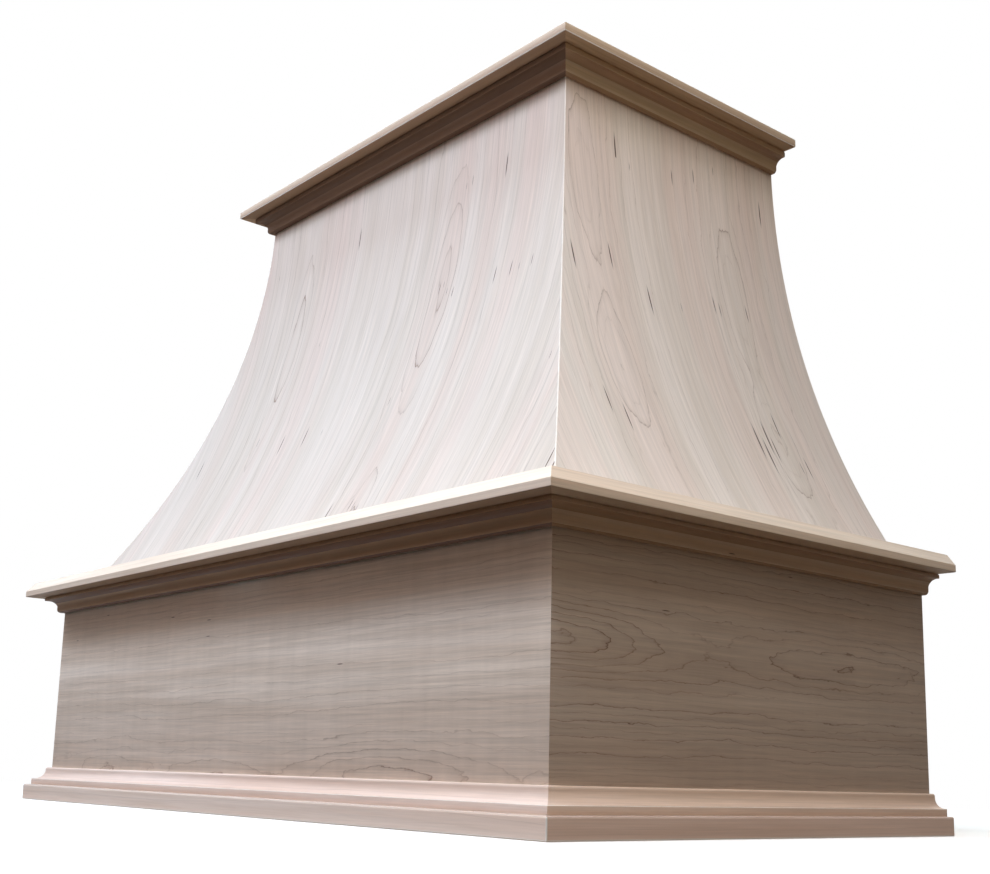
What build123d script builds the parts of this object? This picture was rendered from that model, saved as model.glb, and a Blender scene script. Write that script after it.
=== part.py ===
from build123d import *
import math
import os

# Wooden range hood cover: an apron box on a flat base frame, a shelf, a bell-shaped
# bonnet and a stepped crown, with the ribs, cleats, nailers and screws that hold them.
#
# Millimetres. +Z is up, the hood faces -Y and its back lies flat on the wall. The origin
# is the middle of the bounding box at the underside of the base.
#
# Boards, mouldings and skins run round the three open sides of the hood. Each of them is
# one profile, drawn in two coordinates: "out", the distance outwards from the apron's
# face (negative inwards), and z. "Out" means the same on the front and on both sides, so
# every corner closes on one 45 degree mitre plane.

# ---------------------------------------------------------------- driving dimensions

# Apron: the straight box that hides the liner.
apron_width = 982.0             # across the outer faces of the side panels
apron_depth = 552.5             # from the wall to the front face
apron_height = 255.4            # of the panels, between base frame and shelf
apron_panel = 19.0              # panel thickness

# Base frame: flat boards under the apron, showing outside it as a band.
base_thickness = 19.5
base_overhang = 27.0            # band outside the apron's face
base_lip = 31.0                 # ledge inside the apron panels, for the liner
base_rear_width = 60.0
base_round = 2.2                # eased top arris
base_ease = 0.8                 # eased bottom arris

# Cap moulding: sits on the base frame against the apron.
cap_projection = 19.6
cap_fillet = 7.8                # square edge at the bottom
cap_ledge = 2.1                 # flat between the square edge and the cove
cap_cove_radius = 11.3
cap_lip = 1.4                   # upright edge above the cove
cap_round = 2.4                 # rounded top edge

# Shelf: flat boards on the apron, bevelled above the nose.
shelf_thickness = 19.8
shelf_overhang = 41.3
shelf_nose = 7.6                # upright edge below the bevel
shelf_bevel = 9.6               # how far the bevel leans in
shelf_landing = 12.0            # shelf left inside the feet of the ribs
shelf_rear_width = 80.0

# Bed moulding: one form, under the shelf and under the crown.
bed_toe = 8.3                   # projection of the lower fillet
bed_round = 4.6                 # rounded bottom edge of that fillet
bed_cove_run = 12.2
bed_cove_rise = 7.6
bed_cove_radius = 11.5
bed_brow = 1.2                  # small set-out at the top of the cove
shelf_bed_fillet = 9.0          # height of the lower fillet under the shelf
shelf_bed_step = 5.0            # upright part between cove and shelf
crown_bed_fillet = 9.2
crown_bed_step = 7.8

# Bonnet: a hollow-sided bell on the shelf.
bonnet_height = 514.1           # from shelf to crown moulding
foot_setback = 26.5             # from the apron's face in to the bell's foot
neck_setback = 189.5            # from the apron's face in to the bell's neck
bell_radius = 1017.0
skin = 6.0                      # bending plywood
skin_gap = 0.3                  # glue line between a skin and its ribs

# Crown: thin cap boards on the bonnet's head.
crown_cap = 10.2
crown_overhang = 38.0           # from the bonnet's neck
crown_inside = 24.0             # cap board lying on the deck
nose_ease = 0.9                 # sanded arrises of shelf and crown noses

# Ribs and cleats that carry the skins.
rib_thickness = 19.0
rib_foot = 95.0                 # depth of a rib at the shelf
rib_head = 40.0                 # depth of a rib at the deck
front_rib_spacing = 330.0
side_rib_from_wall = 200.0
cleat_width = 24.0
cleat_height = 32.0

# Top deck with the duct outlet.
deck_thickness = 12.7
duct_hole_radius = 108.0

# Nailers: rails at the back that take the wall screws.
nailer_thickness = 19.0
nailer_height = 90.0
nailer_gap = 0.4                # play of a nailer between its neighbours
stud_spacing = 406.4            # wall screws, one or two to a stud
wall_screw_rows = 50.0          # between the two rows in the lower nailer
wall_screw_hole_radius = 2.75

# Glue blocks in the apron's front corners.
block_leg = 32.0
block_clearance = 1.0           # short of the shelf

# Splines across the joints of the base and shelf frames.
spline_thickness = 6.0
spline_width = 22.0
spline_length = 30.0
spline_play = 0.15              # room round a spline in its slot

# Countersunk wood screws.
screw_flat_count = 8
head_radius = 4.0
head_height = 2.8
shank_radius = 2.0
tip_radius = 0.3
tip_length = 6.0
screw_play = 0.25               # room round a screw in its hole
deck_screw_length = 40.0
foot_screw_length = 48.0
base_screw_length = 44.0
rail_screw_length = 44.0
base_screw_spacing = 320.0      # along the front
base_side_screw_inset = 140.0   # from wall and from front, along the sides
rail_screw_spacing = 250.0

# ---------------------------------------------------------------- levels and set-out

apron_half = apron_width / 2
overall_depth = apron_depth + shelf_overhang
wall_y = overall_depth / 2
front_y = wall_y - apron_depth

z_apron = base_thickness
z_shelf = z_apron + apron_height
z_bonnet = z_shelf + shelf_thickness
z_neck = z_bonnet + bonnet_height
crown_bed_height = crown_bed_fillet + bed_cove_rise + crown_bed_step
shelf_bed_height = shelf_bed_fillet + bed_cove_rise + shelf_bed_step
z_soffit = z_neck + crown_bed_height
z_deck = z_soffit - deck_thickness
overall_height = z_soffit + crown_cap

reach = 2 * max(shelf_overhang, base_overhang, crown_overhang)      # past every nose
depth_in = neck_setback + skin + rib_head + rib_foot                # past every rib


def bell_centre():
    """Centre of the bell's arc in (out, z): on the outer side, so the face is hollow."""
    rise = z_neck - z_bonnet
    run = neck_setback - foot_setback
    chord = math.hypot(rise, run)
    height = math.sqrt(bell_radius**2 - chord**2 / 4)
    middle_out = -(foot_setback + neck_setback) / 2
    middle_z = (z_bonnet + z_neck) / 2
    return middle_out + height * rise / chord, middle_z + height * run / chord


centre_out, centre_z = bell_centre()


def bell(z, inset=0.0):
    """Out position of the bell's face at a height, or of a face lying inset behind it."""
    level = min(z, z_neck)
    return centre_out - math.sqrt((bell_radius + inset)**2 - (level - centre_z)**2)


rib_inset = skin + skin_gap
rib_foot_in = bell(z_bonnet, rib_inset) - rib_foot
rib_head_in = bell(z_neck, rib_inset) - rib_head
shelf_in = rib_foot_in - shelf_landing
base_in = -(apron_panel + base_lip)
deck_edge = bell(z_neck, rib_inset)


def rib_back(z):
    """Out position of the straight inner edge of the ribs at a height."""
    share = (z - z_bonnet) / (z_deck - z_bonnet)
    return rib_foot_in + share * (rib_head_in - rib_foot_in)


# ---------------------------------------------------------------- profiles in (out, z)

def outline(*points):
    """Closed face through points. A point with a third value is rounded to that radius."""
    edges = []
    corners = []
    for i, point in enumerate(points):
        here = Vector(point[0], point[1])
        if len(point) == 2:
            corners.append((here, here))
            continue
        before = (Vector(*points[i - 1][:2]) - here).normalized()
        after = (Vector(*points[(i + 1) % len(points)][:2]) - here).normalized()
        half_angle = math.acos(max(-1, min(1, before.dot(after)))) / 2
        tangent = point[2] / math.tan(half_angle)
        start = here + before * tangent
        end = here + after * tangent
        middle_way = (before + after).normalized()
        bulge = here + middle_way * (point[2] / math.sin(half_angle) - point[2])
        edges.append(ThreePointArc(start, bulge, end))
        corners.append((start, end))
    for i in range(len(corners)):
        edges.append(Line(corners[i - 1][1], corners[i][0]))
    return make_face(edges)


def base_profile():
    """Base board: flat, with the showing edge eased above and below."""
    return outline(
        (base_in, 0),
        (base_overhang, 0, base_ease),
        (base_overhang, base_thickness, base_round),
        (base_in, base_thickness),
    )


def cap_profile():
    """Cap moulding: a square edge, a ledge, then a cove that sweeps up to the apron."""
    z_ledge = z_apron + cap_fillet
    cove_foot = cap_projection - cap_ledge
    cove_head = cove_foot - cap_cove_radius
    z_cove = z_ledge + cap_cove_radius
    z_top = z_cove + cap_lip + cap_round
    bulge = cap_cove_radius * (1 - math.sqrt(0.5))
    round_bulge = cap_round * (1 - math.sqrt(0.5))
    return make_face([
        Polyline((0, z_apron), (cap_projection, z_apron), (cap_projection, z_ledge), (cove_foot, z_ledge)),
        ThreePointArc(
            (cove_foot, z_ledge),
            (cove_head + bulge, z_ledge + bulge),
            (cove_head, z_cove),
        ),
        Line((cove_head, z_cove), (cove_head, z_top - cap_round)),
        ThreePointArc(
            (cove_head, z_top - cap_round),
            (cove_head - round_bulge, z_top - round_bulge),
            (cove_head - cap_round, z_top),
        ),
        Polyline((cove_head - cap_round, z_top), (0, z_top), (0, z_apron)),
    ])


def bed_profile(back, z_top, fillet, step):
    """Bed moulding: rounded lower fillet, cove, small brow and an upright step."""
    z_bottom = z_top - step - bed_cove_rise - fillet
    toe = back + bed_toe
    cove_end = toe + bed_cove_run
    brow = cove_end + bed_brow
    round_bulge = bed_round * (1 - math.sqrt(0.5))
    return make_face([
        Line((back, z_bottom), (toe - bed_round, z_bottom)),
        ThreePointArc(
            (toe - bed_round, z_bottom),
            (toe - round_bulge, z_bottom + round_bulge),
            (toe, z_bottom + bed_round),
        ),
        Line((toe, z_bottom + bed_round), (toe, z_bottom + fillet)),
        RadiusArc((toe, z_bottom + fillet), (cove_end, z_top - step), bed_cove_radius),
        Polyline((cove_end, z_top - step), (brow, z_top - step), (brow, z_top), (back, z_top), (back, z_bottom)),
    ])


def shelf_profile():
    """Shelf board: a square nose with a long bevel above it."""
    return outline(
        (shelf_in, z_shelf),
        (shelf_overhang, z_shelf, nose_ease),
        (shelf_overhang, z_shelf + shelf_nose, nose_ease),
        (shelf_overhang - shelf_bevel, z_bonnet, nose_ease),
        (shelf_in, z_bonnet),
    )


def crown_profile():
    """Crown cap board: thin and square, with the arrises of its nose eased."""
    back = deck_edge - crown_inside
    nose = crown_overhang - neck_setback
    return outline(
        (back, z_soffit),
        (nose, z_soffit, nose_ease),
        (nose, overall_height, nose_ease),
        (back, overall_height),
    )


def bell_curve(inset, z_low, z_high):
    """Edges of the bell's face, moved in by inset, from z_low up to z_high."""
    z_turn = min(z_high, z_neck)
    z_middle = (z_low + z_turn) / 2
    edges = [ThreePointArc(
        (bell(z_low, inset), z_low),
        (bell(z_middle, inset), z_middle),
        (bell(z_turn, inset), z_turn),
    )]
    if z_high > z_neck:
        edges.append(Line((bell(z_neck, inset), z_neck), (bell(z_neck, inset), z_high)))
    return edges


def skin_profile():
    """Skin: hollow on its face up to the neck, then upright behind the crown moulding."""
    return make_face([
        *bell_curve(0, z_bonnet, z_soffit),
        Line((bell(z_neck), z_soffit), (bell(z_neck, skin), z_soffit)),
        *bell_curve(skin, z_bonnet, z_soffit),
        Line((bell(z_bonnet, skin), z_bonnet), (bell(z_bonnet), z_bonnet)),
    ])


def rib_profile():
    """Rib: its outer edge carries the skin, its inner edge is straight."""
    outer_head = bell(z_neck, rib_inset)
    return make_face([
        *bell_curve(rib_inset, z_bonnet, z_deck),
        Polyline(
            (outer_head, z_deck),
            (rib_head_in, z_deck),
            (rib_foot_in, z_bonnet),
            (bell(z_bonnet, rib_inset), z_bonnet),
        ),
    ])


def cleat_profile():
    """Foot cleat: a batten on the shelf, shaped to the back of the skin."""
    z_top = z_bonnet + cleat_height
    inner = bell(z_top, rib_inset) - cleat_width
    return make_face([
        *bell_curve(rib_inset, z_bonnet, z_top),
        Polyline(
            (bell(z_top, rib_inset), z_top),
            (inner, z_top),
            (inner, z_bonnet),
            (bell(z_bonnet, rib_inset), z_bonnet),
        ),
    ])


# ---------------------------------------------------------------- runs round the hood

def prism(corners, z_low, z_high):
    """Upright solid on a plan outline."""
    return extrude(Pos(0, 0, z_low) * make_face(Polyline(*corners, close=True)), z_high - z_low)


def front_zone():
    """Plan region between the two mitre planes."""
    return prism([
        (-apron_half - reach, front_y - reach),
        (apron_half + reach, front_y - reach),
        (apron_half - depth_in, front_y + depth_in),
        (-apron_half + depth_in, front_y + depth_in),
    ], -reach, overall_height + reach)


def side_zone():
    """Plan region of the right side, from its mitre plane to the wall."""
    return prism([
        (apron_half + reach, front_y - reach),
        (apron_half + reach, wall_y),
        (apron_half - depth_in, wall_y),
        (apron_half - depth_in, front_y + depth_in),
    ], -reach, overall_height + reach)


def front_run(profile):
    """Profile along the front, cut on both mitre planes."""
    plane = Plane(origin=(0, front_y, 0), x_dir=(0, -1, 0), z_dir=(-1, 0, 0))
    return extrude(plane * profile, apron_half + reach, both=True) & front_zone()


def right_run(profile):
    """Profile along the right side, from the wall to its mitre plane."""
    plane = Plane(origin=(apron_half, wall_y, 0), x_dir=(1, 0, 0), z_dir=(0, -1, 0))
    return extrude(plane * profile, apron_depth + reach) & side_zone()


def left_of(piece):
    """The same piece on the left side."""
    return mirror(piece, Plane.YZ)


def add_run(pieces, name, profile):
    """Front, left and right pieces of one run."""
    right = right_run(profile)
    pieces[name + "_front"] = front_run(profile)
    pieces[name + "_left"] = left_of(right)
    pieces[name + "_right"] = right


# ---------------------------------------------------------------- ribs, cleats and blocks

def slab(x, y, width, depth):
    """Full-height upright slab centred on a plan point."""
    return Pos(x, y, overall_height / 2) * Box(width, depth, overall_height)


def hip_slab():
    """Slab along the right mitre plane."""
    length = 2 * math.sqrt(2) * (depth_in + reach)
    turned = Rot(0, 0, -45) * Box(length, rib_thickness, overall_height)
    return Pos(apron_half, front_y, overall_height / 2) * turned


def front_rib_slab():
    return slab(front_rib_spacing / 2, 0, rib_thickness, 2 * overall_depth)


def side_rib_slab():
    return slab(0, wall_y - side_rib_from_wall, 2 * apron_width, rib_thickness)


def back_rib_slab():
    return slab(0, wall_y - rib_thickness / 2, 2 * apron_width, rib_thickness)


def add_ribs(pieces):
    """Hip ribs in the corners, backed off to both skins, and plain ribs between them."""
    front = front_run(rib_profile())
    right = right_run(rib_profile())
    ribs = {
        "hip_rib": (front + right) & hip_slab(),
        "front_rib": front & front_rib_slab(),
        "side_rib": right & side_rib_slab(),
        "back_rib": right & back_rib_slab(),
    }
    for name, rib in ribs.items():
        pieces[name + "_left"] = left_of(rib)
        pieces[name + "_right"] = rib


def add_cleats(pieces):
    """Foot cleats between neighbouring ribs."""
    front = front_run(cleat_profile()) - hip_slab() - left_of(hip_slab())
    front = front - front_rib_slab() - left_of(front_rib_slab())
    left, centre, right = front.solids().sort_by(Axis.X)
    pieces["foot_cleat_front_left"] = left
    pieces["foot_cleat_front_centre"] = centre
    pieces["foot_cleat_front_right"] = right
    side = right_run(cleat_profile()) - hip_slab() - side_rib_slab() - back_rib_slab()
    fore, aft = side.solids().sort_by(Axis.Y)
    for name, cleat in (("fore", fore), ("aft", aft)):
        pieces["foot_cleat_left_" + name] = left_of(cleat)
        pieces["foot_cleat_right_" + name] = cleat


def corner_block():
    """Glue block in the right front corner of the apron, with its free corner cut off."""
    corner_x = apron_half - apron_panel
    corner_y = front_y + apron_panel
    return prism([
        (corner_x, corner_y),
        (corner_x, corner_y + block_leg),
        (corner_x - block_leg / 2, corner_y + block_leg),
        (corner_x - block_leg, corner_y + block_leg / 2),
        (corner_x - block_leg, corner_y),
    ], z_apron, z_shelf - block_clearance)


# ---------------------------------------------------------------- rails, nailers and deck

def rear_rail(inner_edge, width, z_low, thickness):
    """Flat rail along the wall between the side boards of a frame."""
    length = 2 * (apron_half + inner_edge)
    centre = (0, wall_y - width / 2, z_low + thickness / 2)
    return Pos(*centre) * Box(length, width, thickness)


def nailer(z_low, z_high, half_low, half_high, rows):
    """Rail flat on the wall, with rows of wall screw holes at heights from its middle."""
    face = make_face(Polyline(
        (-half_low, z_low), (half_low, z_low), (half_high, z_high), (-half_high, z_high), close=True
    ))
    board = extrude(Plane(origin=(0, wall_y, 0), x_dir=(1, 0, 0), z_dir=(0, -1, 0)) * face, nailer_thickness)
    hole = Rot(90, 0, 0) * Cylinder(wall_screw_hole_radius, 2 * nailer_thickness)
    for x in (-stud_spacing / 2, stud_spacing / 2):
        for row in rows:
            board -= Pos(x, wall_y - nailer_thickness / 2, (z_low + z_high) / 2 + row) * hole
    return board


def rib_bay(z):
    """Half the clear width between the back ribs at a height, less the nailer's play."""
    return apron_half + rib_back(z) - nailer_gap


def lower_nailer():
    half = apron_half - apron_panel - nailer_gap
    rows = (-wall_screw_rows / 2, wall_screw_rows / 2)
    return nailer(z_shelf - nailer_height, z_shelf, half, half, rows)


def middle_nailer():
    z_top = z_bonnet + nailer_height
    return nailer(z_bonnet, z_top, rib_bay(z_bonnet), rib_bay(z_top), (0,))


def upper_nailer():
    z_low = z_deck - nailer_height
    return nailer(z_low, z_deck, rib_bay(z_low), rib_bay(z_deck), (0,))


def deck_centre_y():
    """Middle of the deck, front to back."""
    return (front_y - deck_edge + wall_y) / 2


def top_deck():
    """Plywood deck inside the neck, with the round duct outlet."""
    width = 2 * (apron_half + deck_edge)
    depth = apron_depth + deck_edge
    plate = Pos(0, deck_centre_y(), z_deck + deck_thickness / 2) * Box(width, depth, deck_thickness)
    return plate - Pos(0, deck_centre_y(), z_deck) * Cylinder(duct_hole_radius, 4 * deck_thickness)


# ---------------------------------------------------------------- splines

def spline_blank(play):
    """Spline lying flat: its length runs along the joint, its width across it."""
    return Box(spline_length + 2 * play, spline_width + 2 * play, spline_thickness + 2 * play)


def spline_places(inner_edge, outer_edge, rear_width, z_middle):
    """One spline in each front mitre and one in each rear butt joint of a frame."""
    middle = (inner_edge + outer_edge) / 2
    mitre_x = apron_half + middle
    mitre_y = front_y - middle
    butt_x = apron_half + inner_edge
    butt_y = wall_y - rear_width / 2
    return [
        Pos(mitre_x, mitre_y, z_middle) * Rot(0, 0, -45),
        Pos(-mitre_x, mitre_y, z_middle) * Rot(0, 0, 45),
        Pos(butt_x, butt_y, z_middle) * Rot(0, 0, 90),
        Pos(-butt_x, butt_y, z_middle) * Rot(0, 0, 90),
    ]


def add_splines(pieces, frame, places):
    """Splines of one frame, and their slots in its four boards."""
    pieces[frame + "_splines"] = Compound([place * spline_blank(0) for place in places])
    for place in places:
        slot = place * spline_blank(spline_play)
        for side in ("front", "left", "right", "rear"):
            pieces[f"{frame}_{side}"] -= slot


# ---------------------------------------------------------------- screws

def screw_form(length, play):
    """Countersunk screw with flats, or with play its hole. The head is up, at z = 0."""
    levels = (
        (head_radius, 0),
        (shank_radius, -head_height),
        (shank_radius, tip_length - length),
        (tip_radius, -length - play),
    )
    sections = [Pos(0, 0, z) * RegularPolygon(radius + play, screw_flat_count) for radius, z in levels]
    return loft(sections, ruled=True)


def drive_screws(pieces, name, length, drives):
    """Screws of one group as one node, with a hole in each piece that a screw passes."""
    screws = []
    for place, passes in drives:
        screws.append(place * screw_form(length, 0))
        for piece in passes:
            pieces[piece] -= place * screw_form(length, screw_play)
    pieces[name] = Compound([screw.solid() for screw in screws])


def head_up(x, y, z):
    return Pos(x, y, z)


def head_down(x, y, z):
    return Pos(x, y, z) * Rot(180, 0, 0)


def rib_head_middle():
    return (deck_edge + rib_head_in - crown_inside) / 2


def deck_screws():
    """One screw down through the deck into the head of each rib."""
    out = rib_head_middle()
    side_x = apron_half + out
    drives = []
    for side, sign in (("left", -1), ("right", 1)):
        drives += [
            (head_up(sign * side_x, front_y - out, z_soffit), ("top_deck", "hip_rib_" + side)),
            (head_up(sign * front_rib_spacing / 2, front_y - out, z_soffit), ("top_deck", "front_rib_" + side)),
            (head_up(sign * side_x, wall_y - side_rib_from_wall, z_soffit), ("top_deck", "side_rib_" + side)),
            (head_up(sign * side_x, wall_y - rib_thickness / 2, z_soffit), ("top_deck", "back_rib_" + side)),
        ]
    return drives


def foot_screws():
    """One screw up through the shelf into the foot of each plain rib."""
    out = rib_foot_in + rib_foot / 2
    side_x = apron_half + out
    drives = []
    for side, sign in (("left", -1), ("right", 1)):
        board = "shelf_" + side
        drives += [
            (head_down(sign * front_rib_spacing / 2, front_y - out, z_shelf), ("shelf_front", "front_rib_" + side)),
            (head_down(sign * side_x, wall_y - side_rib_from_wall, z_shelf), (board, "side_rib_" + side)),
            (head_down(sign * side_x, wall_y - rib_thickness / 2, z_shelf), (board, "back_rib_" + side)),
        ]
    return drives


def base_screws():
    """Screws up through the base boards into the lower edges of the apron panels."""
    edge = apron_panel / 2
    drives = []
    for x in (-base_screw_spacing, 0, base_screw_spacing):
        drives.append((head_down(x, front_y + edge, 0), ("base_front", "apron_front")))
    for side, sign in (("left", -1), ("right", 1)):
        for y in (front_y + base_side_screw_inset, wall_y - base_side_screw_inset):
            drives.append((head_down(sign * (apron_half - edge), y, 0), ("base_" + side, "apron_" + side)))
    return drives


def rail_screws():
    """Screws down through the rear shelf rail into the lower nailer."""
    y = wall_y - nailer_thickness / 2
    places = (-rail_screw_spacing, 0, rail_screw_spacing)
    return [(head_up(x, y, z_bonnet), ("shelf_rear", "lower_nailer")) for x in places]


# ---------------------------------------------------------------- the whole hood

def build_hood():
    pieces = {}
    add_run(pieces, "base", base_profile())
    pieces["base_rear"] = rear_rail(base_in, base_rear_width, 0, base_thickness)
    add_run(pieces, "cap_moulding", cap_profile())
    add_run(pieces, "apron", outline((-apron_panel, z_apron), (0, z_apron), (0, z_shelf), (-apron_panel, z_shelf)))
    add_run(pieces, "shelf_moulding", bed_profile(0, z_shelf, shelf_bed_fillet, shelf_bed_step))
    add_run(pieces, "shelf", shelf_profile())
    pieces["shelf_rear"] = rear_rail(shelf_in, shelf_rear_width, z_shelf, shelf_thickness)
    add_run(pieces, "bonnet", skin_profile())
    add_run(pieces, "crown_moulding", bed_profile(bell(z_neck), z_soffit, crown_bed_fillet, crown_bed_step))
    add_run(pieces, "crown_cap", crown_profile())
    add_ribs(pieces)
    add_cleats(pieces)
    pieces["apron_block_left"] = left_of(corner_block())
    pieces["apron_block_right"] = corner_block()
    pieces["lower_nailer"] = lower_nailer()
    pieces["middle_nailer"] = middle_nailer()
    pieces["upper_nailer"] = upper_nailer()
    pieces["top_deck"] = top_deck()
    add_splines(pieces, "base", spline_places(base_in, base_overhang, base_rear_width, base_thickness / 2))
    shelf_middle = z_shelf + shelf_thickness / 2
    add_splines(pieces, "shelf", spline_places(shelf_in, shelf_overhang, shelf_rear_width, shelf_middle))
    drive_screws(pieces, "deck_screws", deck_screw_length, deck_screws())
    drive_screws(pieces, "foot_screws", foot_screw_length, foot_screws())
    drive_screws(pieces, "base_screws", base_screw_length, base_screws())
    drive_screws(pieces, "rail_screws", rail_screw_length, rail_screws())
    return pieces


os.makedirs("parts", exist_ok=True)
for node, piece in build_hood().items():
    export_step(piece, f"parts/{node}.step")
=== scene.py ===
import math

import bmesh
import bpy
from bpy.props import FloatProperty, FloatVectorProperty, PointerProperty
from mathutils import Matrix, Vector


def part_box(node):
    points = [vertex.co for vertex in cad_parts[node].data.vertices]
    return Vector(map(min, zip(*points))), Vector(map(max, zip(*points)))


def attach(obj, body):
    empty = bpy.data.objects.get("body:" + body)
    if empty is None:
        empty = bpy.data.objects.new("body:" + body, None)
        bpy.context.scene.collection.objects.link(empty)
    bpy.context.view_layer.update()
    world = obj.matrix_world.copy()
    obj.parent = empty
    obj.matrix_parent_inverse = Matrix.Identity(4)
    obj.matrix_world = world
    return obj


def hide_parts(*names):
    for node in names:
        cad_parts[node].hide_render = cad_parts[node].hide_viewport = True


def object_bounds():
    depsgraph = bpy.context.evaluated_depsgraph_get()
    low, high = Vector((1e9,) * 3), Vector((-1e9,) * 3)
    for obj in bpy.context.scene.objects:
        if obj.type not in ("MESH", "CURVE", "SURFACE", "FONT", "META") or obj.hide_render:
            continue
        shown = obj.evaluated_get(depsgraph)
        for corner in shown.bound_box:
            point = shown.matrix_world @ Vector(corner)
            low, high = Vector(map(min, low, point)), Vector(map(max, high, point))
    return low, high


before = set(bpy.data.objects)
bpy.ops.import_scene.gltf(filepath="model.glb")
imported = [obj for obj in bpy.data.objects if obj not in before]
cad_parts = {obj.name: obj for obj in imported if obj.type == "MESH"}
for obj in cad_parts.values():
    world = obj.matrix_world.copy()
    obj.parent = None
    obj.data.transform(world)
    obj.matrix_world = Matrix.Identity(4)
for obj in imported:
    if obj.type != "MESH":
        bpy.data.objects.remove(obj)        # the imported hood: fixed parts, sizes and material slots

bl_info = {
    "name": "Wooden range hood cover",
    "version": (1, 0, 0),
    "blender": (4, 5, 0),
    "location": "3D View > Sidebar > Range hood",
    "description": "Dresses a wooden range hood cover in raw sanded cherry and sets it in a studio",
    "category": "Object",
}

# Metres. +Z is up, the hood faces -Y and its back lies on the wall. Boards, mouldings and
# skins run round three sides. Each is one profile in two coordinates: "out", the distance
# outwards from the apron's face, and z. The corners close on 45 degree mitre planes.

MM = 0.001
CAD_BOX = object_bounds()


# ---------------------------------------------------------------- places from the frame

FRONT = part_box("apron_front")[0].y              # face of the front panel
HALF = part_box("apron_right")[1].x               # face of the right panel
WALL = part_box("apron_right")[1].y
Z_BASE_TOP, Z_SHELF = (corner.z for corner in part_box("apron_front"))
Z_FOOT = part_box("bonnet_front")[0].z            # the bonnet stands on the shelf
Z_SOFFIT, Z_TOP = (corner.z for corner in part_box("crown_cap_front"))
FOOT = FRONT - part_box("bonnet_front")[0].y      # out position of the bonnet's foot
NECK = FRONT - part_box("crown_moulding_front")[1].y
Z_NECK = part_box("crown_moulding_front")[0].z
APRON_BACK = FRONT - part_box("apron_front")[1].y
CAP_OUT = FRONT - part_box("cap_moulding_front")[0].y
BED_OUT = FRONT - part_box("shelf_moulding_front")[0].y
Z_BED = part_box("shelf_moulding_front")[0].z
CROWN_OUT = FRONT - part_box("crown_cap_front")[0].y
CROWN_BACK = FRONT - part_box("crown_cap_front")[1].y
PAST_THE_CORNERS = 0.25                         # how far a run is drawn past its mitres


def linear(code):
    """Linear RGB of an sRGB hex colour."""
    shares = [int(code[i:i + 2], 16) / 255 for i in (0, 2, 4)]
    return [c / 12.92 if c <= 0.04045 else ((c + 0.055) / 1.055) ** 2.4 for c in shares]


# ---------------------------------------------------------------- what a user can set

def length(name, description, size_mm):
    """A size that a user can set, given in millimetres."""
    return FloatProperty(
        name=name, description=description, default=size_mm * MM, min=0, unit="LENGTH")


def colour(name, description, code):
    """A colour that a user can set, given as sRGB hex."""
    return FloatVectorProperty(
        name=name, description=description, default=linear(code), subtype="COLOR", min=0, max=1)


class HoodSizes(bpy.types.PropertyGroup):
    """Sizes of the profiles that the frame's boxes don't give."""
    bell_radius: length("Bell radius", "Radius of the bonnet's hollow face", 1017)
    skin: length("Skin", "Thickness of the bonnet's bent plywood", 6)
    cap_fillet: length("Cap fillet", "Square edge at the bottom of the cap moulding", 7.8)
    cap_ledge: length("Cap ledge", "Flat between the square edge and the cove", 2.1)
    cap_cove: length("Cap cove", "Radius of the cap moulding's cove", 11.3)
    cap_lip: length("Cap lip", "Upright edge above the cove", 1.4)
    cap_round: length("Cap round", "Rounded top edge of the cap moulding", 2.4)
    bed_round: length("Bed round", "Rounded bottom edge of the bed moulding", 4.6)
    bed_brow: length("Bed brow", "Small set-out at the top of the bed moulding's cove", 1.2)
    bed_cove: length("Bed cove", "Radius of the bed moulding's cove", 11.5)
    bed_toe: length("Bed toe", "Projection of the bed moulding's lower fillet", 8.3)
    bed_rise: length("Bed rise", "Height of the bed moulding's cove", 7.6)
    bed_joint: length("Bed joint", "Open V on top of the bed moulding, seen as a dark line", 1.4)
    shelf_fillet: length("Shelf bed fillet", "Lower fillet under the shelf", 9.0)
    crown_fillet: length("Crown bed fillet", "Lower fillet under the crown", 9.2)
    arris: length("Arris", "Sandpaper round on every long edge", 0.5)
    nose_arris: length("Nose arris", "Heavier round on the crown's nose", 0.9)
    corner_arris: length("Corner arris", "Sanded width on each side of an outer corner", 0.6)


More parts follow.
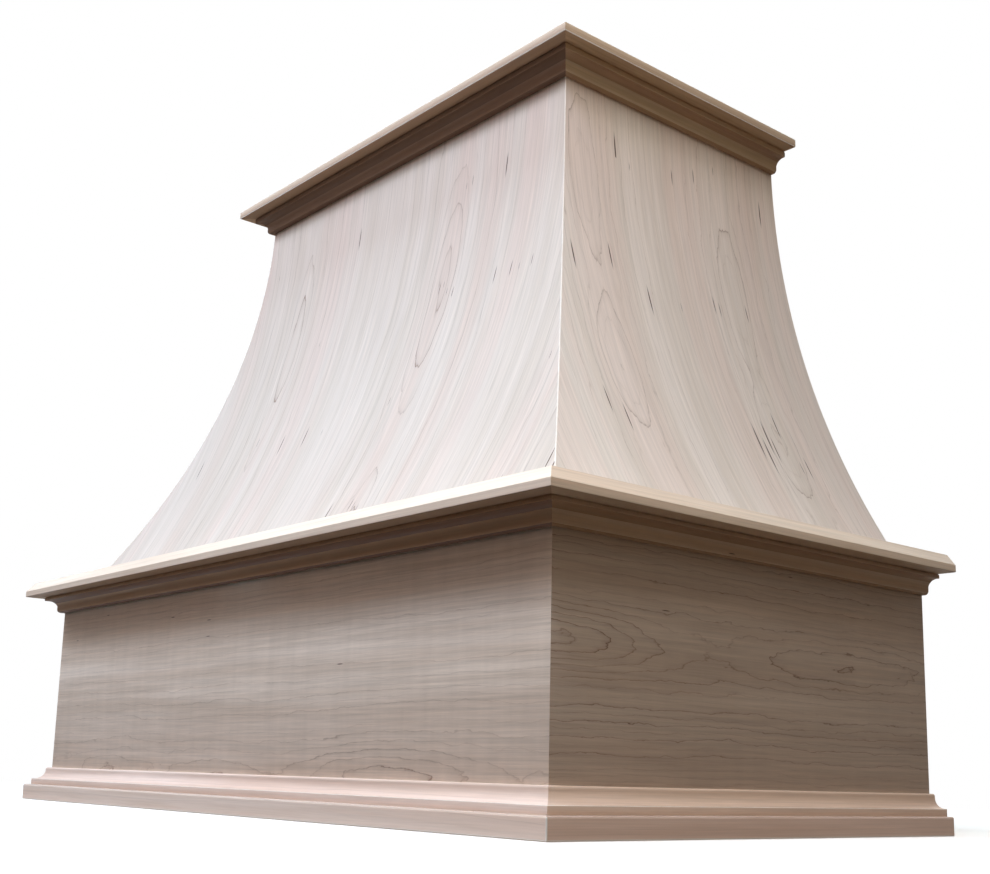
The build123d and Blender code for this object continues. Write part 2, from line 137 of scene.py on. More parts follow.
class HoodColours(bpy.types.PropertyGroup):
    """Colours of raw, sanded wood and of the hidden framing."""
    bonnet_light: colour("Bonnet veneer, light", "Earlywood of the bonnet's veneer", "DACEC7")
    bonnet_deep: colour("Bonnet veneer, deep", "Broad dark bands of the bonnet's veneer", "C8BAAF")
    bonnet_pink: colour("Bonnet veneer, pink", "Heartwood blush of the bonnet's veneer", "D7C2BA")
    apron_light: colour("Apron veneer, light", "Earlywood of the apron's veneer", "DACDC1")
    apron_deep: colour("Apron veneer, deep", "Broad dark bands of the apron's veneer", "C8B8AA")
    apron_pink: colour("Apron veneer, pink", "Heartwood blush of the apron's veneer", "D1BFB1")
    board_light: colour("Boards, light", "Earlywood of the solid boards and mouldings", "E7D7CB")
    board_deep: colour("Boards, deep", "Darker bands of the solid boards and mouldings", "D4BFAF")
    board_pink: colour("Boards, pink", "Heartwood blush of the solid boards", "E1C7B6")
    moulding_light: colour("Mouldings, light", "Earlywood of crown and bed mouldings", "BFA38A")
    moulding_deep: colour("Mouldings, deep", "Darker bands of crown and bed mouldings", "A5876D")
    moulding_pink: colour("Mouldings, pink", "Heartwood blush of crown and bed mouldings", "B08E74")
    latewood: colour("Latewood", "Thin dark line that ends each year's growth", "7E6353")
    gum: colour("Gum flecks", "Short gum and mineral streaks", "4A3328")
    # The sanded colour is partly fresh sanding and partly a painted highlight that broken edges
    # catch.
    sanded: colour("Sanded arris", "Freshly sanded edges and corners", "F6F0EA")
    pine_light: colour("Pine, light", "Earlywood of the softwood framing", "DCC49A")
    pine_deep: colour("Pine, deep", "Latewood of the softwood framing", "B98B58")
    pine_pink: colour("Pine, resinous", "Warmer bands of the softwood framing", "D2B283")
    ply_face: colour("Plywood face", "Birch face of ribs and deck", "DDCBB0")
    ply_core: colour("Plywood core", "Darker plies on sawn edges", "A9835A")
    zinc: colour("Zinc", "Plated screws", "C6C8C4")


def sizes():
    """The sizes as the user has set them."""
    return bpy.context.scene.hood_sizes


def tones():
    """The colours as the user has set them."""
    return bpy.context.scene.hood_colours


# ---------------------------------------------------------------- materials

SMOOTH = {"interpolation_type": "SMOOTHSTEP"}           # a map range that eases in and out
COLOURS = {"output": 2, "data_type": "RGBA"}            # a mix of two colours
BARE_WOOD = {"IOR": 1.5, "Specular IOR Level": 0.3}     # dull: nothing lies on the fibres
PLY = 1.6 * MM                                          # thickness of one ply
LOOKS_DOWN = -0.7                                       # below this normal z, a face looks down

# Darkness of the wood through a year's growth, as (share of the year, darkness).
YEAR_START = 0.3
YEAR = ((0.05, 0.04), (0.6, 0.0), (0.88, 0.16), (0.945, 0.45), (0.972, 1.0), (0.988, 1.0))
YEAR_END = 0.5


def add(tree, kind, inputs=None, output=0, **settings):
    """Adds a shader node. An input gets a value, or a socket to link. Returns one output, or all.

    Where inputs go by number, a map range takes 1 and 2 to 3 and 4, and a mix has its two
    vectors at 4 and 5 and its two colours at 6 and 7.
    """
    node = tree.nodes.new("ShaderNode" + kind)
    for name, value in settings.items():
        setattr(node, name, value)
    for key, value in (inputs or {}).items():
        if isinstance(value, bpy.types.NodeSocket):
            tree.links.new(value, node.inputs[key])
        else:
            node.inputs[key].default_value = value
    return node.outputs if output is None else node.outputs[output]


def new_material(name):
    """An empty material and its node tree."""
    material = bpy.data.materials.new(name)
    material.use_nodes = True
    material.node_tree.nodes.clear()
    return material, material.node_tree


def rgba(value):
    """A colour with full alpha."""
    return (*value[:3], 1.0)


class Grain:
    """How a sheet or board was cut, in millimetres. The first axis runs along the grain."""
    family = "board"        # which of the hood's colours it takes
    axes = "XYZ"            # along, across and through the sheet
    through = 1.0           # 0 for veneer, whose figure is the same all through
    tone = (1.0, 1.0, 1.0)  # brightness of this piece: partly its own, partly painted light and shade for how it is lit
    pith = 0.0              # where the tree's middle lies, across the grain
    leaf = 9000.0           # width of one leaf of veneer, after which the figure comes again
    depth = 30.0            # how far the tree's middle lies below the cut
    ring = 4.0              # width of one year's growth
    wander = 9.0            # slow wander of the rings
    wander_along = 260.0    # length of that wander along the grain
    jag = 1.0               # small quick wander
    jag_along = 26.0        # length of the quick wander
    swells = ()             # closed figure: (along, across, half length, half width, rings)
    line = 0.5              # strength of the latewood lines
    calm = 0.5              # their share of that strength outside the swells
    band = 0.5              # strength of the broad bands
    blush = 0.4             # strength of the pink bands
    fibre = 0.05            # strength of the fine fibres
    fleck = 0.06            # share of places that hold a gum fleck
    fleck_long = 90.0       # length of those places
    fleck_wide = 9.0        # width of those places
    fleck_reach = 0.09      # how much of its place the longest fleck fills
    curl = 0.0              # cross-grain shimmer
    under = (1.0, 1.0, 1.0) # darkening of faces that look down: painted shade
    sanded_sheen = 0.0              # width of the pale line at upright corners and the foot: sanded wood with a painted highlight
    ledge = 0.7             # darkening of the top of a piece with that pale line: painted shade on faces that look up
    seed = 0.0              # places the cut elsewhere in the log

    def __init__(self, **values):
        for name, value in values.items():
            setattr(self, name, value)


class Board(Grain):
    """A board sawn far from the pith, so its grain runs straight. Its underside is darkened: painted
    shade.
    """
    pith = 900.0
    depth = 300.0
    ring = 3.0
    wander = 14.0
    wander_along = 900.0
    jag = 0.6
    line = 0.45
    band = 0.9
    blush = 0.6
    fibre = 0.14
    fleck = 0.015
    under = (0.62, 0.52, 0.42)


class Moulding(Board):
    """A moulding run from a darker, more even board."""
    family = "moulding"
    band = 0.5


def wood(name, grain):
    """Raw wood, planed and sanded: dull, with growth rings cut by the surface.

    The rings are circles about the pith, bent by slow noise and by swells in the log. A cut
    that grazes a swell shows closed nested loops, and further out fine parallel lines.
    """
    light, deep, pink = (
        rgba(getattr(tones(), f"{grain.family}_{share}")) for share in ("light", "deep", "pink"))
    material, tree = new_material(name)
    coordinates = add(tree, "TexCoord", output=None)
    axes = dict(zip("XYZ", add(tree, "SeparateXYZ", {0: coordinates["Object"]}, output=None)))
    along = axes[grain.axes[0]]
    across = axes[grain.axes[1]]
    through = add(tree, "Math", {0: axes[grain.axes[2]], 1: grain.through}, operation="MULTIPLY")
    spot = add(tree, "CombineXYZ", {0: along, 1: across, 2: through})

    def cells(long_mm, wide_mm):
        """The place in cells of a length along the grain and a width across it."""
        size = (1 / (long_mm * MM), 1 / (wide_mm * MM), 1 / (wide_mm * MM))
        start = (37 * grain.seed, 11 * grain.seed, 5 * grain.seed)
        return add(tree, "VectorMath", {0: spot, 1: size, 2: start}, operation="MULTIPLY_ADD")

    def unevenness(long_mm, wide_mm, detail=2.0, roughness=0.5):
        """Growth that varies over a length along the grain and a width across it."""
        place = cells(long_mm, wide_mm)
        inputs = {"Vector": place, "Scale": 1.0, "Detail": detail, "Roughness": roughness}
        return add(tree, "TexNoise", inputs)

    # Distance from the pith, in rings.
    slow = unevenness(grain.wander_along, 70.0, 3.0)
    quick = unevenness(grain.jag_along, 9.0, 3.0)
    below = add(tree, "Math", {0: through, 1: grain.depth * MM}, operation="ADD")
    from_pith = add(tree, "Math", {0: across, 1: grain.pith * MM}, operation="SUBTRACT")
    half_leaf = grain.leaf * MM / 2
    aside = add(tree, "Math", {0: from_pith, 1: half_leaf, 2: -half_leaf}, operation="WRAP")
    flat = add(tree, "CombineXYZ", {0: aside, 1: below})
    radius = add(tree, "VectorMath", {0: flat}, output=1, operation="LENGTH")
    bent = {0: slow, 1: grain.wander * MM, 2: radius}
    wandered = add(tree, "Math", bent, operation="MULTIPLY_ADD")
    bent = {0: quick, 1: grain.jag * MM, 2: wandered}
    jagged = add(tree, "Math", bent, operation="MULTIPLY_ADD")
    even = add(tree, "Math", {0: jagged, 1: grain.ring * MM}, operation="DIVIDE")
    rings = even
    for swell_along, swell_across, half_length, half_width, height in grain.swells:
        size = (1 / (half_length * MM), 1 / (half_width * MM), 0)
        middle = (-swell_along / half_length, -swell_across / half_width, 0)
        offset = add(tree, "VectorMath", {0: spot, 1: size, 2: middle}, operation="MULTIPLY_ADD")
        away = add(tree, "VectorMath", {0: offset}, output=1, operation="LENGTH")
        hill = add(tree, "MapRange", {0: away, 1: 0, 2: 1, 3: height, 4: 0}, **SMOOTH)
        rings = add(tree, "Math", {0: rings, 1: hill}, operation="SUBTRACT")
    year = add(tree, "Math", {0: rings}, operation="FLOOR")
    season = add(tree, "Math", {0: rings}, operation="FRACT")

    # Latewood: darkens slowly through the year and ends sharply, more in some years.
    darkness = add(tree, "ValToRGB", {0: season})
    stops = darkness.node.color_ramp.elements
    stops[0].color = (YEAR_START, YEAR_START, YEAR_START, 1)
    stops[1].color = (YEAR_END, YEAR_END, YEAR_END, 1)
    for position, level in YEAR:
        stops.new(position).color = (level, level, level, 1)
    harshness = add(tree, "TexWhiteNoise", {"W": year}, noise_dimensions="1D")
    fading = unevenness(150.0, 30.0)
    chance = add(tree, "Math", {0: harshness, 1: fading}, operation="MULTIPLY")
    faint, strong = 0.15 * grain.line, 1.2 * grain.line
    strength = add(tree, "MapRange", {0: chance, 1: 0.08, 2: 0.45, 3: faint, 4: strong})
    raised = add(tree, "Math", {0: even, 1: rings}, operation="SUBTRACT")
    nearness = add(tree, "MapRange", {0: raised, 1: 0.0, 2: 1.0, 3: grain.calm, 4: 1.0})
    shown = add(tree, "Math", {0: strength, 1: nearness}, operation="MULTIPLY")
    latewood = add(tree, "Math", {0: darkness, 1: shown}, operation="MULTIPLY", use_clamp=True)

    # Broad bands and heartwood blush, then fine fibres and the shimmer of curled ones.
    bands = unevenness(700.0, 30.0, 5.0, 0.64)
    band = add(tree, "MapRange", {0: bands, 1: 0.36, 2: 0.66, 4: grain.band}, **SMOOTH)
    body = add(tree, "Mix", {0: band, 6: light, 7: deep}, **COLOURS)
    blushes = unevenness(1300.0, 60.0)
    blush = add(tree, "MapRange", {0: blushes, 1: 0.45, 2: 0.62, 4: grain.blush}, **SMOOTH)
    blushed = add(tree, "Mix", {0: blush, 6: body, 7: pink}, **COLOURS)
    ringed = add(tree, "Mix", {0: latewood, 6: blushed, 7: rgba(tones().latewood)}, **COLOURS)
    fibres = unevenness(120.0, 2.6, 4.0, 0.7)
    swing = {0: fibres, 1: 0.25, 2: 0.75, 3: 1 - grain.fibre, 4: 1 + grain.fibre}
    fibre = add(tree, "MapRange", swing)
    curls = unevenness(14.0, 120.0)
    curl = add(tree, "MapRange", {0: curls, 1: 0.3, 2: 0.7, 3: 1 - grain.curl, 4: 1 + grain.curl})
    shimmer = add(tree, "Math", {0: fibre, 1: curl}, operation="MULTIPLY")

    # Brightness of this piece, partly its own and partly painted light and shade, and painted shade
    # on its faces that look down.
    facing = add(tree, "SeparateXYZ", {0: coordinates["Normal"]}, output=2)
    gets_painted_shade = add(tree, "Math", {0: facing, 1: LOOKS_DOWN}, operation="LESS_THAN")
    tones_and_shade_by_face = {0: gets_painted_shade, 4: grain.tone, 5: grain.under}
    tone = add(tree, "Mix", tones_and_shade_by_face, output=1, data_type="VECTOR")
    toned = add(tree, "VectorMath", {0: ringed, 1: tone}, operation="MULTIPLY")
    fibred = add(tree, "VectorMath", {0: toned, "Scale": shimmer}, operation="SCALE")

    # A pale line at the upright corners by the mitres and along the edge on the floor, not the top:
    # sanded wood with a painted highlight.
    if grain.sanded_sheen:
        aside_of_middle = add(tree, "Math", {0: axes["X"]}, operation="ABSOLUTE")
        reach_out = add(tree, "Math", {0: aside_of_middle, 1: axes["Y"]}, operation="ADD")
        past_mitre = add(tree, "Math", {0: reach_out, 1: HALF + FRONT}, operation="SUBTRACT")
        off_mitre = add(tree, "Math", {0: past_mitre}, operation="ABSOLUTE")
        off_edge = add(tree, "Math", {0: off_mitre, 1: axes["Z"]}, operation="MINIMUM")
        limits = {0: off_edge, 1: 0.6 * grain.sanded_sheen * MM, 2: grain.sanded_sheen * MM, 3: 0.9, 4: 0.0}
        near_edge = add(tree, "MapRange", limits)
        steep = add(tree, "Math", {0: facing}, operation="ABSOLUTE")
        upright = add(tree, "Math", {0: steep, 1: 0.5}, operation="LESS_THAN")
        pale = add(tree, "Math", {0: near_edge, 1: upright}, operation="MULTIPLY")
        fibred = add(tree, "Mix", {0: pale, 6: fibred, 7: rgba(tones().sanded)}, **COLOURS)
        # Faces that look up are darkened: painted shade.
        top = add(tree, "MapRange", {0: facing, 1: 0.2, 2: 0.6, 3: 1.0, 4: grain.ledge})
        fibred = add(tree, "VectorMath", {0: fibred, "Scale": top}, operation="SCALE")

    # Gum flecks: slim dark darts along the grain, in some of the places only.
    places = {"Vector": cells(grain.fleck_long, grain.fleck_wide), "Scale": 1.0}
    flatness = "3D" if grain.through else "2D"
    darts = add(tree, "TexVoronoi", places, output=None, voronoi_dimensions=flatness)
    chances = add(tree, "SeparateXYZ", {0: darts["Color"]}, output=None)
    off_middle = add(tree, "Math", {0: aside}, operation="ABSOLUTE")
    many, few = 2.0 * grain.fleck, 0.4 * grain.fleck
    rarity = {0: off_middle, 1: 0.1 * half_leaf, 2: 0.6 * half_leaf, 3: many, 4: few}
    share = add(tree, "MapRange", rarity)
    picked = add(tree, "Math", {0: chances[0], 1: share}, operation="LESS_THAN")
    reach = add(tree, "MapRange", {0: chances[1], 3: 0.03, 4: grain.fleck_reach})
    inner = add(tree, "Math", {0: darts["Distance"], 1: reach}, operation="DIVIDE")
    dart = add(tree, "MapRange", {0: inner, 1: 0.5, 2: 1.0, 3: 1.0, 4: 0.0})
    fleck = add(tree, "Math", {0: dart, 1: picked}, operation="MULTIPLY")
    final = add(tree, "Mix", {0: fleck, 6: fibred, 7: rgba(tones().gum)}, **COLOURS)

    # Sanded fibres leave a dull surface with a very shallow tooth.
    roughness = add(tree, "MapRange", {0: fibres, 1: 0.3, 2: 0.7, 3: 0.58, 4: 0.72})
    bump = add(tree, "Bump", {"Height": fibres, "Strength": 0.25, "Distance": 0.08 * MM})
    shader = add(tree, "BsdfPrincipled", {
        "Base Color": final, "Roughness": roughness, "Normal": bump, **BARE_WOOD,
    })
    add(tree, "OutputMaterial", {"Surface": shader}, output=None)
    return material


def plywood(name, normal, streak):
    """Birch plywood: pale faces, and sawn edges that show the plies as stripes.

    normal stands across the sheet, and streak holds the fineness of its figure on each axis.
    """
    pale, dark = rgba(tones().ply_face), rgba(tones().ply_core)
    material, tree = new_material(name)
    coordinates = add(tree, "TexCoord", output=None)
    place = coordinates["Object"]
    sides = {0: coordinates["Normal"], 1: normal}
    facing = add(tree, "VectorMath", sides, output=1, operation="DOT_PRODUCT")
    face = add(tree, "Math", {0: facing}, operation="ABSOLUTE")
    is_face = add(tree, "Math", {0: face, 1: 0.7}, operation="GREATER_THAN")
    level = add(tree, "VectorMath", {0: place, 1: normal}, output=1, operation="DOT_PRODUCT")
    plies = add(tree, "Math", {0: level, 1: 2 * PLY}, operation="DIVIDE")
    share = add(tree, "Math", {0: plies}, operation="FRACT")
    core = add(tree, "MapRange", {0: share, 1: 0.47, 2: 0.53})
    specks = add(tree, "TexNoise", {"Vector": place, "Scale": 1 / (2.5 * MM), "Detail": 3.0})
    edge = add(tree, "Mix", {0: core, 6: pale, 7: dark}, **COLOURS)
    streaks = add(tree, "Mapping", {0: place, 3: streak})
    inputs = {"Vector": streaks, "Scale": 1.0, "Detail": 5.0, "Distortion": 0.6}
    figure = add(tree, "TexNoise", inputs)
    fade = add(tree, "MapRange", {0: figure, 1: 0.3, 2: 0.7, 3: 0.0, 4: 0.35})
    plain = add(tree, "Mix", {0: fade, 6: pale, 7: dark}, **COLOURS)
    mixed = add(tree, "Mix", {0: is_face, 6: edge, 7: plain}, **COLOURS)
    speck = add(tree, "MapRange", {0: specks, 1: 0.3, 2: 0.7, 3: 0.86, 4: 1.05})
    final = add(tree, "VectorMath", {0: mixed, "Scale": speck}, operation="SCALE")
    bump = add(tree, "Bump", {"Height": specks, "Strength": 0.4, "Distance": 0.15 * MM})
    shader = add(tree, "BsdfPrincipled", {
        "Base Color": final, "Roughness": 0.7, "Normal": bump, **BARE_WOOD,
    })
    add(tree, "OutputMaterial", {"Surface": shader}, output=None)
    return material


def sanded_and_highlit_arris():
    """Bare wood on an edge that sandpaper has just broken: paler with a painted highlight, and matt.
    """
    pale, body = rgba(tones().sanded), rgba(tones().board_light)
    material, tree = new_material("sanded_and_highlit_arris")
    place = add(tree, "TexCoord", output="Object")
    wear = add(tree, "TexNoise", {"Vector": place, "Scale": 1 / (9 * MM), "Detail": 4.0})
    share = add(tree, "MapRange", {0: wear, 1: 0.35, 2: 0.65, 3: 0.0, 4: 0.5})
    final = add(tree, "Mix", {0: share, 6: pale, 7: body}, **COLOURS)
    bump = add(tree, "Bump", {"Height": wear, "Strength": 0.2, "Distance": 0.1 * MM})
    shader = add(tree, "BsdfPrincipled", {
        "Base Color": final, "Roughness": 0.7, "Normal": bump, **BARE_WOOD,
    })
    add(tree, "OutputMaterial", {"Surface": shader}, output=None)
    return material


def zinc_plate():
    """Zinc-plated steel screws: soft grey metal with a faint cloudy plating."""
    material, tree = new_material("zinc_plated_steel")
    place = add(tree, "TexCoord", output="Object")
    cloud = add(tree, "TexNoise", {"Vector": place, "Scale": 1 / (2 * MM), "Detail": 3.0})
    tint = add(tree, "MapRange", {0: cloud, 1: 0.3, 2: 0.7, 3: 0.85, 4: 1.0})
    final = add(tree, "VectorMath", {0: tones().zinc[:], "Scale": tint}, operation="SCALE")
    roughness = add(tree, "MapRange", {0: cloud, 1: 0.3, 2: 0.7, 3: 0.28, 4: 0.42})
    shader = add(tree, "BsdfPrincipled", {
        "Base Color": final, "Metallic": 1.0, "Roughness": roughness,
    })
    add(tree, "OutputMaterial", {"Surface": shader}, output=None)
    return material


# The figure of each sheet and board. The bonnet's grain stands upright, the apron's lies flat.
BONNET_SIDE = {
    "family": "bonnet", "axes": "ZYX", "through": 0, "leaf": 240, "depth": 80, "ring": 6.5,
    "wander": 22, "jag": 5.0, "jag_along": 30, "line": 0.6, "calm": 0.45, "band": 0.6,
    "blush": 0.45, "fibre": 0.14, "fleck": 0.2, "fleck_long": 170, "fleck_wide": 10,
    "fleck_reach": 0.15,
}
APRON_SIDE = {
    "family": "apron", "axes": "YZX", "through": 0, "depth": 45, "ring": 6.0, "wander": 18,
    "jag": 7.0, "jag_along": 28, "blush": 0.2, "fleck": 0.01, "curl": 0.02,
}
# The base's underside is darkened a little and its top darkened more: painted shade. Its pale line is
# sanded wood with a painted highlight.
BASE = {"under": (0.95, 0.92, 0.88), "sanded_sheen": 1.4, "line": 0.3, "fibre": 0.08}
# Each piece's brightness is partly its own and partly painted light and shade for how that face is
# lit, so the front and side pieces of one run differ.
WOODS = {
    "bonnet_front": Grain(
        family="bonnet", axes="ZXY", through=0, tone=(0.87, 0.86, 0.85), pith=128, leaf=320,
        depth=90, ring=8.0, wander=24, wander_along=380, jag=3.4, jag_along=46, line=0.85,
        calm=0.4, band=0.6, blush=0.6, fibre=0.17, fleck=0.09, fleck_long=140,
        fleck_reach=0.13, seed=0.4,
        swells=((600, 128, 250, 50, 2.8), (590, -192, 240, 48, 2.4), (270, 141, 150, 55, 2.6)),
    ),
    "bonnet_right": Grain(
        **BONNET_SIDE, tone=(1.07, 1.08, 1.07), pith=-50, seed=2.1,
        swells=((690, -50, 150, 40, 2.4), (470, -55, 110, 42, 2.8), (610, 188, 150, 42, 2.4),
                (420, 180, 100, 45, 2.8)),
    ),
    "bonnet_left": Grain(
        **BONNET_SIDE, pith=20, seed=5.3,
        swells=((640, 20, 190, 45, 2.8), (430, 30, 120, 45, 2.4), (560, 245, 150, 45, 3.0)),
    ),
    "apron_front": Grain(
        family="apron", axes="XZY", through=0, tone=(1.14, 1.14, 1.15), pith=46, depth=45,
        ring=6.5, wander=22, jag=6.0, jag_along=30, line=0.65, calm=0.55, band=1.0, blush=0.3,
        fibre=0.19, fleck=0.012, curl=0.035, seed=1.7,
        swells=((257, 34, 210, 66, 3.2), (-60, 30, 150, 40, 1.3), (-330, 45, 130, 30, 1.2)),
    ),
    "apron_right": Grain(
        **APRON_SIDE, tone=(0.74, 0.70, 0.68), pith=165, line=1.15, calm=0.6, band=1.0,
        fibre=0.21, seed=3.9, swells=((-262, 162, 190, 45, 3.6), (150, 164, 215, 40, 1.3)),
    ),
    "apron_left": Grain(
        **APRON_SIDE, pith=120, line=0.7, band=0.9, fibre=0.19, seed=7.2,
        swells=((-60, 118, 200, 45, 3.0), (230, 124, 160, 40, 2.0)),
    ),
    # The front bed and crown mouldings are darkened for shade and their sides lightened: painted
    # shade and light. Their darkened faces that look down are painted shade.
    "base_x": Board(**BASE, tone=(1.22, 1.21, 1.23), seed=1.1),
    "base_y": Board(**BASE, axes="YXZ", tone=(1.09, 1.0, 1.0), seed=4.4),
    "cap_x": Board(tone=(1.06, 1.04, 1.08), seed=6.3),
    "cap_y": Board(axes="YXZ", tone=(0.92, 0.9, 0.88), seed=2.6),
    "shelf_x": Board(tone=(0.98, 0.96, 0.92), under=(0.43, 0.32, 0.23), seed=3.3),
    "shelf_y": Board(axes="YXZ", tone=(0.94, 0.92, 0.86), under=(0.73, 0.6, 0.44), seed=5.5),
    "bed_x": Moulding(tone=(0.76, 0.6, 0.45), under=(0.17, 0.1, 0.06), seed=2.7),
    "bed_y": Moulding(axes="YXZ", tone=(1.07, 1.1, 1.07), under=(0.58, 0.46, 0.32), seed=8.2),
    "crown_x": Moulding(tone=(0.48, 0.43, 0.41), under=(0.25, 0.19, 0.15), seed=9.6),
    "crown_y": Moulding(axes="YXZ", tone=(1.16, 1.28, 1.24), under=(0.76, 0.68, 0.57), seed=7.4),
    "crown_cap_x": Board(tone=(0.73, 0.69, 0.63), under=(0.51, 0.4, 0.29), seed=0.9),
    "crown_cap_y": Board(axes="YXZ", tone=(0.71, 0.65, 0.54), under=(0.69, 0.55, 0.38), seed=1.9),
    "sheet_back": Grain(
        family="pine", axes="XZY", through=0, depth=60, ring=7.0, wander=20, line=0.3, fleck=0,
        seed=9.1,
    ),
    "softwood": Grain(
        family="pine", pith=55, depth=40, ring=3.2, wander=8, line=0.9, calm=1.0, fleck=0.01,
        band=0.3, seed=6.0,
    ),
}
SQUARE = math.sqrt(0.5)

# Each sheet's normal, and how fine its figure is on each axis.
PLYWOODS = {
    "ply_across_x": ((1, 0, 0), (60, 60, 5)),
    "ply_across_y": ((0, 1, 0), (60, 60, 5)),
    "ply_across_z": ((0, 0, 1), (4, 60, 60)),
    "ply_hip_right": ((SQUARE, SQUARE, 0), (60, 60, 5)),
    "ply_hip_left": ((-SQUARE, SQUARE, 0), (60, 60, 5)),
}
MADE = {}


def finish_of(name):
    """One of the hood's materials, made when it is first asked for."""
    if name not in MADE:
        if name in WOODS:
            MADE[name] = wood("wood_" + name, WOODS[name])
        elif name in PLYWOODS:
            MADE[name] = plywood("birch_" + name, *PLYWOODS[name])
        else:
            MADE[name] = {"arris": sanded_and_highlit_arris, "zinc": zinc_plate}[name]()
    return MADE[name]


def dress(node, finish):
    """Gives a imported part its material."""
    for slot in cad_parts[node].material_slots:
        slot.material = finish_of(finish)


# ---------------------------------------------------------------- runs round the hood

ARRIS, BACK, SAWN = 1, 2, 3             # material slots of a run. Its face takes slot 0
CONVEX = math.radians(28)               # a long edge that turns more than this is sanded
CREASE = math.radians(35)               # an edge that turns more than this is shaded sharp
DRAWN_BACK = 0.28                       # how far a corner goes back, in sanded widths
EDGE_ON = 0.3                           # a sawn edge's normal leans out or in less than this


class Pen:
    """Draws a profile as a chain of edges, in the plane x = 0 with "out" along -Y."""

    def __init__(self, mesh, out, z):
        self.mesh = mesh
        self.tip = bmesh.ops.create_vert(mesh, co=(0, -out, z))["vert"][0]

    def line(self, *places):
        """Straight edges from place to place."""
        for out, z in places:
            made = bmesh.ops.extrude_vert_indiv(self.mesh, verts=[self.tip])
            self.tip = made["verts"][0]
            self.tip.co = (0, -out, z)

    def arc(self, out, z, radius, steps):
        """Arc to a place. A positive radius bends to the left, looking with +X towards the eye."""
        start = self.tip.co.copy()
        end = Vector((0, -out, z))
        chord = end - start
        side = Vector((0, -chord.z, chord.y)).normalized()
        height = math.sqrt(radius**2 - chord.length_squared / 4)
        centre = (start + end) / 2 + side * math.copysign(height, radius)
        made = bmesh.ops.spin(
            self.mesh, geom=[self.tip], cent=centre, axis=(1, 0, 0),
            angle=2 * math.asin(chord.length / 2 / radius), steps=steps,
        )
        self.tip = next(of_kind(bmesh.types.BMVert, made["geom_last"]))

    def close(self):
        """Joins the ends, and fills the profile with a face."""
        bmesh.ops.remove_doubles(self.mesh, verts=self.mesh.verts, dist=0.01 * MM)
        ends = [vert for vert in self.mesh.verts if len(vert.link_edges) == 1]
        if ends:
            bmesh.ops.contextual_create(self.mesh, geom=ends)
        bmesh.ops.contextual_create(self.mesh, geom=self.mesh.edges[:])


def of_kind(kind, pieces):
    """The vertices, or the edges, among what a bmesh operator returns."""
    return (piece for piece in pieces if isinstance(piece, kind))


def cut_mitre(mesh, side, away, marked):
    """Cuts a run off at one mitre plane and rounds the arris of the corner there.

    side is 1 for the corner at +X and -1 for the one at -X. away is 1 for the front's piece and
    -1 for the side's, which lies behind the plane. The end face is drawn back along the mitre,
    which rounds upright edges.
    """
    arris = sizes().corner_arris
    corner = Vector((side * HALF, FRONT, 0))
    off = away * Vector((side, 1, 0)).normalized()
    inward = Vector((-side, 1, 0)).normalized()
    whole = mesh.verts[:] + mesh.edges[:] + mesh.faces[:]
    bmesh.ops.bisect_plane(mesh, geom=whole, plane_co=corner - off * arris, plane_no=off)
    whole = mesh.verts[:] + mesh.edges[:] + mesh.faces[:]
    cut = bmesh.ops.bisect_plane(
        mesh, geom=whole, plane_co=corner, plane_no=off, clear_outer=True)
    rim = list(of_kind(bmesh.types.BMEdge, cut["geom_cut"]))
    # Faces along the corner take the arris finish: sanded wood with a painted highlight.
    for edge in rim:
        for face in edge.link_faces:
            if marked and abs(face.normal.z) < 0.9:
                face.material_index = ARRIS
    bmesh.ops.edgeloop_fill(mesh, edges=rim)
    ends = {vert for edge in rim for vert in edge.verts}
    bmesh.ops.translate(mesh, verts=list(ends), vec=inward * arris * DRAWN_BACK)


def ease(mesh, width):
    """Breaks the long convex edges of a run with sandpaper."""
    edges = []
    for edge in mesh.edges:
        along = (edge.verts[1].co - edge.verts[0].co).normalized()
        if edge.is_manifold and abs(along.x) > 0.99 and edge.calc_face_angle_signed() > CONVEX:
            edges.append(edge)
    bmesh.ops.bevel(
        mesh, geom=edges, offset=width, segments=2, profile=0.5, affect="EDGES",
        clamp_overlap=True, material=ARRIS,
    )


def run(node, draw, finishes, arris, marked=False):
    """Front, left and right pieces of one profile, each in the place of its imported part.

    The side's piece is drawn on the right, and mirrored for the left.
    """
    for side in ("front", "left", "right"):
        if side == "front":
            start, stretch = -HALF - PAST_THE_CORNERS, 2 * (HALF + PAST_THE_CORNERS)
        else:
            start, stretch = WALL, FRONT - PAST_THE_CORNERS - WALL
        mesh = bmesh.new()
        draw(mesh)
        bmesh.ops.translate(mesh, verts=mesh.verts, vec=(start, 0, 0))
        drawn = bmesh.ops.extrude_face_region(mesh, geom=mesh.faces[:], use_keep_orig=True)
        moved = list(of_kind(bmesh.types.BMVert, drawn["geom"]))
        bmesh.ops.translate(mesh, verts=moved, vec=(stretch, 0, 0))
        bmesh.ops.recalc_face_normals(mesh, faces=mesh.faces)
        ease(mesh, arris)
        if side == "front":
            bmesh.ops.translate(mesh, verts=mesh.verts, vec=(0, FRONT, 0))
            cut_mitre(mesh, 1, 1, marked)
            cut_mitre(mesh, -1, 1, marked)
        else:
            quarter = Matrix.Rotation(math.radians(90), 4, "Z")
            bmesh.ops.transform(mesh, matrix=quarter, verts=mesh.verts)
            bmesh.ops.translate(mesh, verts=mesh.verts, vec=(HALF, 0, 0))
            cut_mitre(mesh, 1, -1, marked)
        if side == "left":
            bmesh.ops.scale(mesh, vec=(-1, 1, 1), verts=mesh.verts)
        bmesh.ops.recalc_face_normals(mesh, faces=mesh.faces)
        place_piece(mesh, f"{node}_{side}", finishes(side))


